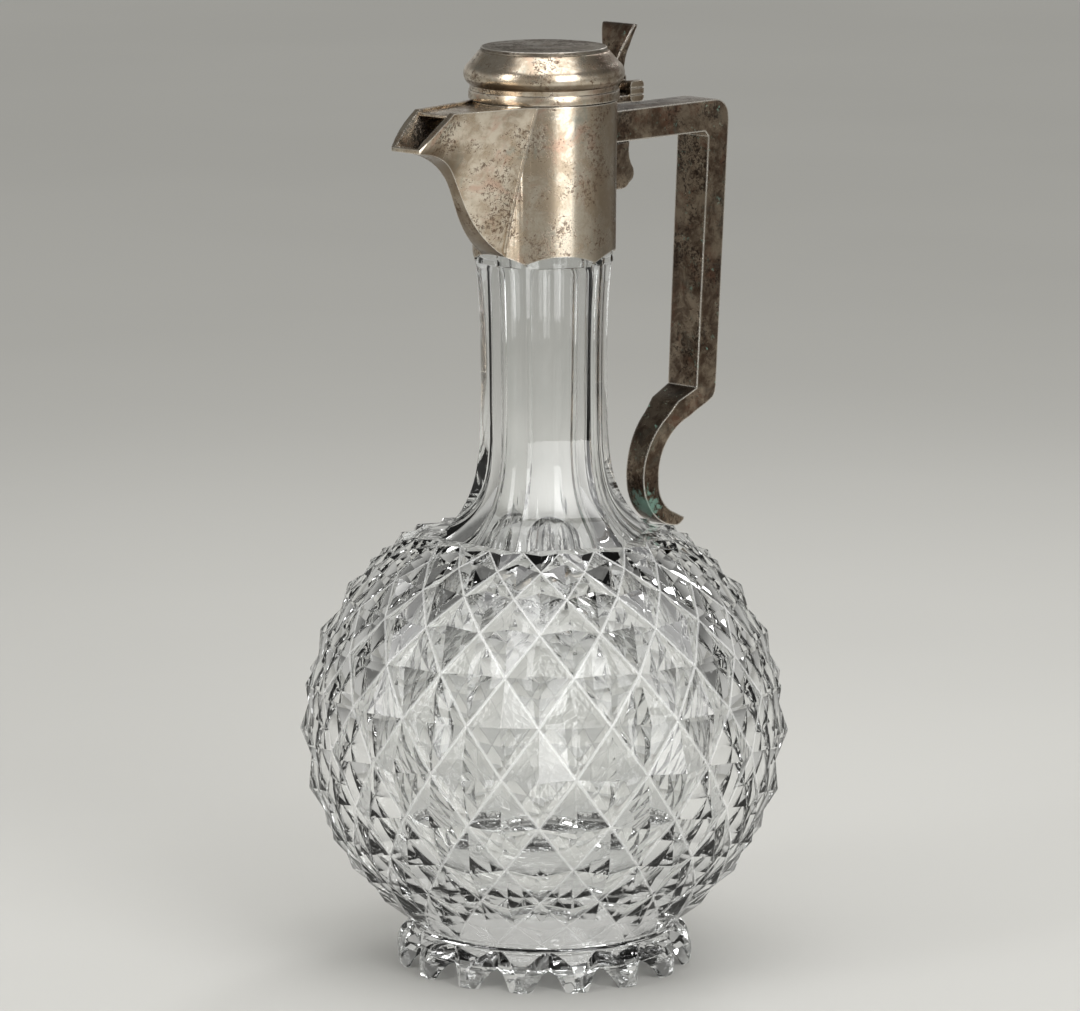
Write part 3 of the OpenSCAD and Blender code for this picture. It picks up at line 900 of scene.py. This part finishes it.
    def foot(self) -> Piece:
        """The foot with its petals, and the bead where the bulb meets it.

        Returns:
            The closed mesh as an object.
        """
        foot = lathe("petal_foot", self.foot_outline, 192)
        reach = 8 * MM
        wide = reach * math.tan(math.radians(self.notch_spread))
        cutters = grow("notches", ring_tree(), {
            "Count": self.petals, "Sides": 4, "Size": (reach, wide, 40 * MM),
            "Turn": math.radians(self.petal_turn + 180 / self.petals),
            "Place": (self.notch_r * MM + reach, 0, 0), "Material": CRYSTAL.material()})
        combine(foot, cutters, Cut.TAKE)
        soften(foot, 0.28, 2, 40)
        bead_r, half = self.bead
        wire = [(bead_r + half * math.cos(a), self.seat_z + half * math.sin(a))
                for a in (math.tau * k / 20 for k in range(20))]
        combine(foot, lathe("bead", wire, 192, ring=True), Cut.ADD)
        return foot

    def hollow(self) -> Piece:
        """The hollow that the wine fills: an egg that sweeps up into the bore.

        Returns:
            The closed mesh as an object.
        """
        wide, tall, top = self.egg
        low, high = -math.pi / 2, math.radians(top)
        outline = [(0, self.bulb_z - tall)]
        outline += [(wide * math.cos(a), self.bulb_z + tall * math.sin(a))
                    for a in (low + (high - low) * k / 60 for k in range(1, 60))]
        sweep = [(wide * math.cos(high), self.bulb_z + tall * math.sin(high)), *self.bore]
        for k in range(25):
            t = k / 24
            share = ((1 - t) ** 3, 3 * (1 - t) ** 2 * t, 3 * (1 - t) * t * t, t ** 3)
            outline.append(tuple(sum(s * p[i] for s, p in zip(share, sweep)) for i in (0, 1)))
        end = self.mouth[1] + 1
        outline += [(self.mouth_bore, end - 1), (self.mouth_bore, end), (0, end)]
        return lathe("hollow", outline, 160)

    def build(self) -> list[Piece]:
        """Fuses the glass into one piece and stands it for the CAD's vessel.

        Returns:
            The glass.
        """
        glass = self.cut_bulb()
        glass.name = "crystal_vessel"
        ring_r, ring_z = self.ring
        mouth_r, mouth_z = self.mouth
        ring = drum("uncut_ring", (ring_r, self.panel_top_z - 0.3), (ring_r, ring_z))
        mouth = drum("mouth", (mouth_r, ring_z - 1), (mouth_r, mouth_z))
        smooth = CRYSTAL.material().copy()
        smooth.name = "lead_crystal_smooth"
        for part in (self.neck(), ring, mouth, self.foot()):
            part.data.materials.clear()
            part.data.materials.append(smooth)
            combine(glass, part, Cut.ADD)
        inside = self.hollow()
        inside.data.materials.append(smooth)
        combine(glass, inside, Cut.TAKE)
        plain = {i for i, m in enumerate(glass.data.materials) if m == smooth}
        glass.data.polygons.foreach_set("use_smooth", [
            p.material_index in plain for p in glass.data.polygons])
        glass.data.set_sharp_from_angle(angle=math.radians(15))
        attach(glass, Body.JUG.value)
        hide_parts("glass_vessel")
        return [glass]


# The metal


def smithed(node: str, body: Body, finish: Finish, width: float = 0.25,
            angle: float = 30.0, proud: float = 0.0) -> Piece:
    """A metal piece: its CAD node's shape, merged, with softened arrises and a finish.

    Args:
        node: The CAD node.
        body: The body it moves with.
        finish: Its finish.
        width: How wide its arrises are rounded, in millimetres.
        angle: The least angle that counts as an arris, in degrees.
        proud: How far its faces are raised, in millimetres.

    Returns:
        The new piece, which stands for the node.
    """
    shape = bmesh.new()
    shape.from_mesh(frame["nodes"][node].data)
    bmesh.ops.remove_doubles(shape, verts=shape.verts, dist=0.001 * MM)
    bmesh.ops.dissolve_limit(shape, angle_limit=math.radians(0.4), verts=shape.verts,
                             edges=shape.edges)
    shape.normal_update()
    for corner in shape.verts:
        corner.co += corner.normal * proud * MM
    mesh = bpy.data.meshes.new(node + "_worn")
    shape.to_mesh(mesh)
    shape.free()
    piece = new_piece(node + "_worn", mesh)
    soften(piece, width, 2, angle, 32)
    return finished(piece, body, finish, node)


def prism(name: str, outline: Outline, axis: str, low: float, high: float) -> Piece:
    """A bar of a given section.

    Args:
        name: The piece's name.
        outline: The section: X and height for a bar along Y, Y and height for one along X.
        axis: "X" or "Y".
        low: Where the bar starts, in millimetres.
        high: Where it ends.

    Returns:
        The closed mesh as an object.
    """
    def at(a: float, z: float, end: float) -> Vector:
        """A point of the bar."""
        return Vector((end, a, z) if axis == "X" else (a, end, z))

    return loft(name, [[at(a, z, end) for a, z in outline] for end in (low, high)])


def arc(x: float, z: float, radius: float, start: float, end: float, steps: int) -> Outline:
    """Points on an arc.

    Args:
        x: The centre's first coordinate.
        z: The centre's height.
        radius: The arc's radius.
        start: Its first angle in degrees.
        end: Its last angle in degrees.
        steps: How many steps it has.

    Returns:
        The points.
    """
    turns = [math.radians(start + (end - start) * k / steps) for k in range(steps + 1)]
    return [(x + radius * math.cos(a), z + radius * math.sin(a)) for a in turns]


def finished(piece: Piece, body: Body, finish: Finish, *nodes: str) -> Piece:
    """Puts a new piece on its body in place of CAD nodes, with a finish.

    Args:
        piece: The new piece.
        body: The body it moves with.
        finish: Its finish.
        *nodes: The CAD nodes that it stands for.

    Returns:
        The piece.
    """
    piece.data.materials.clear()
    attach(piece, body.value)
    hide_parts(*nodes)
    finish.coat(piece)
    return piece


def kept(node: str, finish: Finish) -> Piece:
    """Puts a finish on a CAD node that stays, and returns it."""
    finish.coat(frame["nodes"][node])
    return frame["nodes"][node]


def mirrored(half: Outline) -> Outline:
    """A whole section from its right half, which runs from the bottom to the top."""
    return half + [(-y, z) for y, z in reversed(half)]


def oblong(low: float, high: float, z: float, half: float) -> Outline:
    """A rectangle from its two ends, its middle's height and half its own height."""
    return [(low, z - half), (low, z + half), (high, z + half), (high, z - half)]


@dataclass
class Mount:
    """The collar on the neck, with its beak and what lies hidden inside it."""

    low: tuple[float, float] = (19.5, 196.3)
    top: tuple[float, float] = (19.9, 239.3)
    inside_r: float = 18.95
    arch_r: float = 22.0
    arch_crown: float = 198.8
    window: Outline = field(default_factory=lambda: [
        (-6.3, 216.5), (6.3, 216.5), (10.4, 236.2), (-10.4, 236.2)])
    crease: tuple[tuple[float, float], ...] = ((4.0, 199.6), (12.4, 239.0))
    crease_r: float = 19.75
    welt_r: float = 0.5
    arris: float = 0.22

    def welt(self, side: int) -> Piece:
        """The thin run of solder along the crease between a cheek of the beak and the collar.

        Args:
            side: Which cheek, -1 or 1.

        Returns:
            The closed mesh as an object.
        """
        rings = []
        for k in range(25):
            y, z = (a + (b - a) * k / 24 for a, b in zip(*self.crease))
            x = -math.sqrt(self.crease_r ** 2 - y * y)
            rings.append([Vector((x + self.welt_r * math.cos(a), side * y
                                  + self.welt_r * math.sin(a), z))
                          for a in (math.tau * n / 14 for n in range(14))])
        return loft("welt", rings)

    def collar(self) -> Piece:
        """The tapering sleeve with six arches in its lower edge and a window to the beak.

        Returns:
            The closed mesh as an object.
        """
        (low_r, low_z), (top_r, top_z) = self.low, self.top
        sleeve = lathe("collar_worn", [(self.inside_r, low_z), (low_r, low_z),
                                       (top_r, top_z), (self.inside_r, top_z)], 288, True)
        arches = grow("arches", ring_tree(), {
            "Count": 6, "Turn": 0.0, "Sides": 160,
            "Size": (self.arch_r * MM, self.arch_r * MM, 20 * MM),
            "Tilt": (0, math.pi / 2, 0),
            "Place": (20 * MM, 0, (self.arch_crown - self.arch_r) * MM),
            "Material": BRIGHT_PLATE.material()})
        combine(sleeve, arches, Cut.TAKE)
        combine(sleeve, prism("window", self.window, "X", -30, -5), Cut.TAKE)
        for side in (-1, 1):
            combine(sleeve, self.welt(side), Cut.ADD)
        soften(sleeve, 0.15, 2, 50, 30)
        return sleeve

    def build(self) -> list[Piece]:
        """Dresses the collar, the beak, its cover and the hidden pieces.

        Returns:
            The pieces, CAD nodes among them.
        """
        return [finished(self.collar(), Body.JUG, BRIGHT_PLATE, "collar_sleeve"),
                smithed("beak_shell", Body.JUG, BRIGHT_PLATE, 0.18, proud=0.2),
                smithed("beak_cover", Body.JUG, BRIGHT_PLATE, self.arris),
                kept("mouth_rim", BRIGHT_PLATE), kept("plaster_bed", PLASTER)]


@dataclass
class Handle:
    """The squared handle: arm, grip and scroll in one run, and the drop under the arm."""

    arm_half: float = 6.0
    knee_half: float = 5.6
    scroll_half: float = 3.4
    arm: tuple[float, float] = (226.1, 234.7)
    knee: tuple[float, float, float] = (54.7, 62.4, 154.4)
    scroll_z: float = 130.0
    reach: float = 66.6
    arris: float = 0.55

    def side(self) -> Outline:
        """The handle's outline from the side, round to the cut at the collar.

        Returns:
            The outline.
        """
        under, top = self.arm
        inner_x, outer_x, knee_z = self.knee
        outer = [(15.0, top), (self.reach - 5.6, top)]
        outer += arc(self.reach - 5.1, top - 5, 5, 80, 0, 10)
        outer += [(self.reach, top - 6), (outer_x, knee_z), (62.5, 152.6), (61.8, 150.9),
                  (59.7, 149.6), (55.8, 147.8)]
        outer += arc(57.8, 131, 16, 108, 180, 20) + arc(51.8, 129, 10, 186, 248, 14)
        outer += [(52.1, 117.8), (51.9, 117.1), (50.6, 116.2)]
        inner = arc(50, 130, 14.2, 268, 184, 18) + arc(57.3, 130.3, 21.6, 178, 127, 16)
        inner += [(47.8, 151.3), (inner_x, knee_z), (58.6, under - 1.5),
                  (57.2, under), (15.0, under)]
        return outer + inner

    def half_width(self, z: float) -> float:
        """Half the handle's width.

        Args:
            z: A height in millimetres.

        Returns:
            Half the width there, in millimetres.
        """
        under, knee_z = self.arm[0], self.knee[2]
        if z > under:
            return self.arm_half
        if z > knee_z:
            share = (z - knee_z) / (under - knee_z)
            return self.knee_half + (self.arm_half - self.knee_half) * share
        share = max(0.0, (z - self.scroll_z) / (knee_z - self.scroll_z)) ** 2
        return self.scroll_half + (self.knee_half - self.scroll_half) * share

    def run(self) -> Piece:
        """The arm, grip and scroll as one piece, cut back to the collar.

        Returns:
            The closed mesh as an object.
        """
        handle = prism("handle_worn", self.side(), "Y", -10, 10)
        low, high = self.scroll_z, self.knee[2]
        heights = [low - 20] + [low + (high - low) * k / 12 for k in range(13)]
        heights += [self.arm[0], self.arm[0] + 14]
        front = mirrored([(self.half_width(z), z) for z in heights])
        combine(handle, prism("front", front, "X", 10, 80), Cut.KEEP)
        combine(handle, drum("collar_core", (19.4, 190), (19.6, 245), 144), Cut.TAKE)
        soften(handle, self.arris, 3, 28, 26)
        return handle

    def build(self) -> list[Piece]:
        """Dresses the handle's run and its drop.

        Returns:
            The pieces.
        """
        run = finished(self.run(), Body.JUG, DARK_PLATE, "handle_arm", "handle_grip",
                       "handle_scroll")
        return [run, smithed("handle_drop", Body.JUG, DARK_PLATE, 0.5)]


@dataclass
class Lid:
    """The domed lid with its flat disc and thumbpiece."""

    arris: float = 0.2
    thumb_side: Outline = field(default_factory=lambda: [
        (23.8, 244.2), (24.5, 246), (25.2, 248), (25.9, 250), (26.4, 252), (27.1, 254),
        (27.8, 256), (28.6, 257.9), (30.4, 257.9), (29.7, 256), (29.3, 254), (29.2, 252),
        (29.1, 250), (29.0, 248), (28.7, 246), (28.3, 244.2)])
    thumb_front: Outline = field(default_factory=lambda: [
        (3.0, 243.8), (2.7, 245), (2.6, 246.5), (2.8, 248.5), (3.4, 250.3), (4.2, 252),
        (5.1, 254.2), (5.8, 256.2), (6.3, 258.2)])

    def thumbpiece(self) -> Piece:
        """The thumbpiece: a billet that fans out and leans back.

        Returns:
            The closed mesh as an object.
        """
        thumb = prism("thumbpiece_worn", self.thumb_side, "Y", -8, 8)
        combine(thumb, prism("fan", mirrored(self.thumb_front), "X", 10, 40), Cut.KEEP)
        soften(thumb, 0.5, 3, 34, 30)
        return thumb

    def build(self) -> list[Piece]:
        """Dresses the lid's pieces.

        Returns:
            The pieces, CAD nodes among them.
        """
        return [smithed("lid_band", Body.LID, BRIGHT_PLATE, self.arris),
                smithed("lid_cover", Body.LID, BRIGHT_PLATE, self.arris),
                smithed("lid_top_disc", Body.LID, PITTED_PLATE, self.arris),
                finished(self.thumbpiece(), Body.LID, DARK_PLATE, "thumbpiece"),
                kept("lid_bezel", BRIGHT_PLATE), kept("lid_underplate", BRIGHT_PLATE)]


@dataclass
class Hinge:
    """Two leaves that mesh on a steel pin with a squared cap at each end."""

    arris: float = 0.2
    pin: tuple[float, float] = (26.0, 240.2)
    cap: tuple[float, float] = (2.6, 2.9)
    cap_y: tuple[float, float] = (8.1, 10.0)
    corner: float = 1.2
    line_z: float = 0.95
    line_half: float = 0.12
    line_depth: float = 0.25

    def caps(self) -> Piece:
        """The squared caps, each with two lines cut round it.

        Returns:
            The closed mesh as an object.
        """
        (x, z), (half, tall), (low, high) = self.pin, self.cap, self.cap_y
        outline, deep = [], self.line_depth
        for start, side, up in ((180, -1, -1), (270, 1, -1), (0, 1, 1), (90, -1, 1)):
            outline += arc(x + side * (half - self.corner), z + up * (tall - self.corner),
                           self.corner, start, start + 90, 6)
        caps = prism("caps_worn", outline, "Y", low, high)
        combine(caps, prism("far_cap", outline, "Y", -high, -low), Cut.ADD)
        for level in (z - self.line_z, z + self.line_z):
            cut = prism("line", oblong(10, 40, level, self.line_half), "Y", -20, 20)
            core = oblong(x - half + deep, x + half - deep, level, 1)
            combine(cut, prism("core", core, "Y", deep - high, high - deep), Cut.TAKE)
            combine(caps, cut, Cut.TAKE)
        soften(caps, 0.22, 2, 40, 30)
        return caps

    def build(self) -> list[Piece]:
        """Dresses the leaves, the pin and its caps.

        Returns:
            The pieces, a CAD node among them.
        """
        return [smithed("collar_hinge_leaf", Body.JUG, DARK_PLATE, self.arris),
                finished(self.caps(), Body.JUG, BRIGHT_PLATE, "pin_heads"),
                smithed("lid_hinge_leaf", Body.LID, DARK_PLATE, self.arris),
                kept("hinge_pin", PIN_STEEL)]


# The studio


@dataclass(frozen=True)
class Lamp:
    """A soft lamp that faces the jug."""

    label: str
    bearing: float
    height: float
    away: float
    size: tuple[float, float]
    watts: float
    spread: float = 100.0
    aim: tuple[float, float, float] = (0, 0, 0.12)

    def build(self) -> None:
        """Hangs the lamp. The bearing is in degrees to the right of the camera."""
        data = bpy.data.lights.new(self.label, "AREA")
        data.shape = "RECTANGLE"
        data.size, data.size_y = self.size
        data.energy = self.watts
        data.spread = math.radians(self.spread)
        turn = math.radians(-135 + self.bearing)
        lamp = bpy.data.objects.new(self.label, data)
        lamp.location = (self.away * math.cos(turn), self.away * math.sin(turn), self.height)
        aim = Vector(self.aim) - lamp.location
        lamp.rotation_euler = aim.to_track_quat("-Z", "Y").to_euler()
        lamp.visible_camera = False
        bpy.context.scene.collection.objects.link(lamp)


@dataclass
class Studio:
    """A plain pale floor, soft lamps, a pale surround and the photograph's camera."""

    pale: Colour = (0.48, 0.476, 0.457)
    # The even colour that the floor near the axis shows through the glass: painted light over
    # the jug's shadow.
    shown: Colour = (0.50, 0.496, 0.475)
    ambient: float = 1.5
    overhead: float = 0.30
    lamps: tuple[Lamp, ...] = (
        Lamp("right_softbox", 33, 0.50, 0.95, (0.58, 0.98), 2.5),
        Lamp("left_softbox", -54, 0.50, 1.00, (0.30, 0.98), 1.3),
        Lamp("overhead_softbox", 15, 1.25, 0.25, (1.1, 0.9), 2.4),
        Lamp("back_strip", 158, 0.85, 0.95, (0.22, 0.6), 0.8),
    )
    stand: tuple[float, float, float] = (-1.16701, -1.16701, 0.433)
    pitch: float = 10.49
    sensor: float = 36.0
    lens: float = 204.13
    shift: float = -4 / 1080

    def floor(self) -> None:
        """Lays the floor, which is no part of the jug, with painted light under the jug where
        the glass looks at it.
        """
        floor = lathe("studio_floor", [(0, 0), (9000, 0)], 96)
        paper = bpy.data.materials.new("floor_paper")
        paper.use_nodes = True
        graph = NodeGraph(paper.node_tree)
        tooth = graph.span(graph.noise(graph.place(), 3.0, 3), 0.3, 0.7)
        colour = graph.mixed(tooth, self.pale, tuple(0.97 * c for c in self.pale))
        skin = graph.node("ShaderNodeBsdfPrincipled", {"Base Color": colour,
                                                       "Roughness": 0.8})
        # Painted light: seen through the glass, the floor glows in an even pale colour in place
        # of the jug's shadow. It is full within 45 mm of the axis and fades out by 110 mm.
        shown = graph.node("ShaderNodeEmission", {"Color": self.shown, "Strength": 1.0})
        ray = graph.node("ShaderNodeLightPath").outputs
        out = graph.node("ShaderNodeVectorMath", {0: graph.place()},
                         operation="LENGTH").outputs["Value"]
        seen = graph.times(ray["Is Transmission Ray"],
                           graph.span(out, 0.045, 0.11, 1.0, 0.0))
        mix = graph.node("ShaderNodeMixShader", {0: seen, 1: skin, 2: shown})
        graph.node("ShaderNodeOutputMaterial", {"Surface": mix})
        floor.data.materials.append(paper)
        if floor.data.polygons[0].normal.z < 0:
            floor.data.flip_normals()

    def world(self) -> None:
        """Makes the surround: pale where it is seen, dimmer where it lights the jug."""
        world = bpy.data.worlds.new("pale_surround")
        world.use_nodes = True
        bpy.context.scene.world = world
        graph = NodeGraph(world.node_tree)
        ray = graph.node("ShaderNodeLightPath").outputs
        seen = graph.math("MAXIMUM", ray["Is Camera Ray"], graph.math(
            "MAXIMUM", ray["Is Glossy Ray"], ray["Is Transmission Ray"]))
        rise = graph.axes(graph.node("ShaderNodeTexCoord").outputs["Generated"])[2]
        room = graph.span(rise, 0.10, 0.50, 1.0, self.overhead)
        room = graph.math("MAXIMUM", room, ray["Is Camera Ray"])
        strength = graph.math("MAXIMUM", graph.times(seen, room),
                              graph.times(graph.less(1.0, seen), self.ambient))
        shown = graph.node("ShaderNodeBackground", {"Color": self.pale,
                                                    "Strength": strength})
        graph.node("ShaderNodeOutputWorld", {"Surface": shown})

    def camera(self) -> None:
        """Sets the camera as fitted to the photograph, a long lens from slightly above."""
        data = bpy.data.cameras.new("camera")
        data.sensor_width = self.sensor
        data.lens = self.lens
        data.shift_x = self.shift
        data.clip_end = 50
        camera = bpy.data.objects.new("camera", data)
        camera.location = self.stand
        down = math.radians(self.pitch)
        level = math.cos(down) * math.sqrt(0.5)
        look = Vector((level, level, -math.sin(down)))
        camera.rotation_euler = look.to_track_quat("-Z", "Y").to_euler()
        bpy.context.scene.collection.objects.link(camera)
        bpy.context.scene.camera = camera

    def build(self) -> None:
        """Sets up the floor, the lamps, the surround and the camera."""
        self.floor()
        for lamp in self.lamps:
            lamp.build()
        self.world()
        self.camera()
        bpy.context.scene.view_settings.view_transform = "Standard"


def plain(box: tuple) -> list[list[float]]:
    """A box's two corners as plain lists of numbers."""
    return [[float(x) for x in corner] for corner in box]


def main() -> None:
    """Builds every sub-assembly in order."""
    logging.basicConfig(level=logging.INFO, format="%(name)s %(message)s")
    for part in (GlassVessel(), Mount(), Handle(), Lid(), Hinge()):
        for piece in part.build():
            LOG.info("%s: %s, %d faces", type(part).__name__, piece.name,
                     len(piece.data.polygons))
    Studio().build()


if __name__ == "__main__":
    main()
